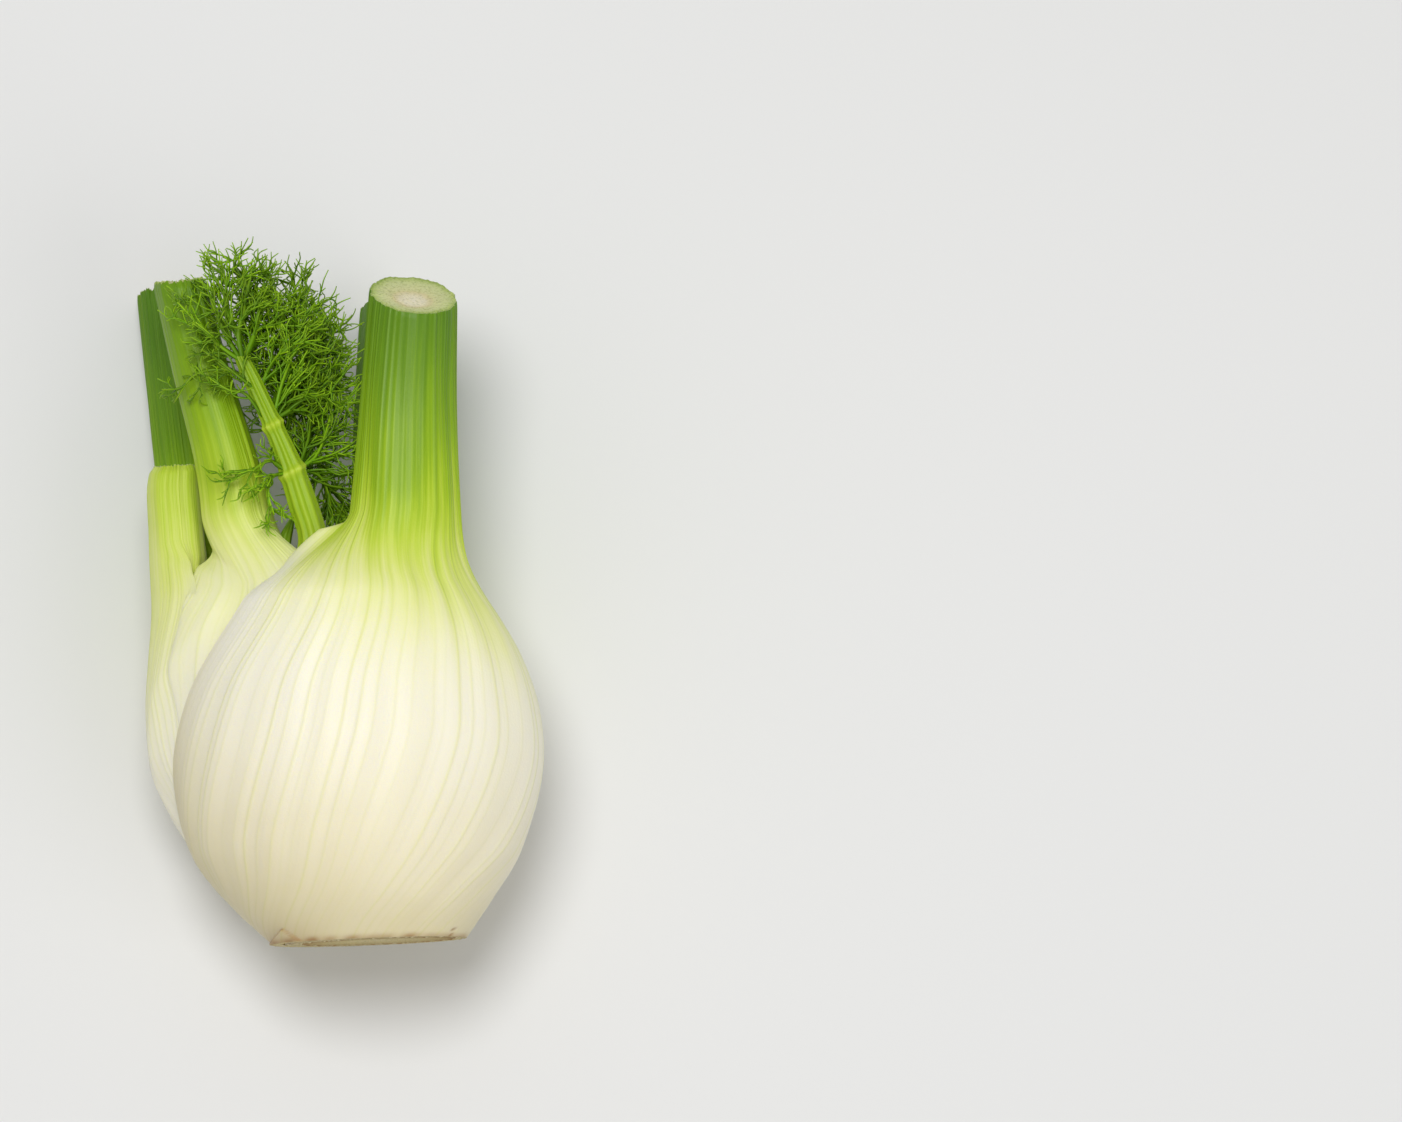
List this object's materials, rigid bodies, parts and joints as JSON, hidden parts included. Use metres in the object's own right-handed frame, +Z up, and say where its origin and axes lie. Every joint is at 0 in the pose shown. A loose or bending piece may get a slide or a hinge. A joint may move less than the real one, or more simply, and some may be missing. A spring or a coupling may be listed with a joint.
{
  "type": "fennel bulb",
  "caption": "Fresh fennel bulb lying on its back: overlapping pale leaf bases, cut green stalks and a feathery frond.",
  "frame": {"origin": "middle of the footprint, on the surface that the bulb lies on", "axes": "+X to the bulb's right seen from its front, +Y from the cut base towards the stalks, +Z up from the surface"},
  "size_m": [0.1038, 0.1794, 0.0756],
  "materials": {
    "leaf_base": "smooth pale flesh with green veins, waxy sheen",
    "frond_stem": "ribbed bright green stem, soft sheen",
    "frond": "fine feathery green filaments",
    "root_plate": "cut face, matte, slightly browned"
  },
  "bodies": {
    "root": {"front_leaf": "leaf_base", "back_leaf": "leaf_base", "stub_leaf": "leaf_base", "back_left_leaf": "leaf_base", "left_leaf": "leaf_base", "root_plate": "root_plate", "inner_leaf": "frond_stem", "shoot_left": "frond_stem", "shoot_right": "frond_stem", "spray_tip_left": "frond", "spray_tip_right": "frond", "spray_upper_left": "frond", "spray_upper_right": "frond", "spray_lower_left": "frond", "spray_lower_right": "frond", "spray_behind": "frond"}
  },
  "joints": []
}
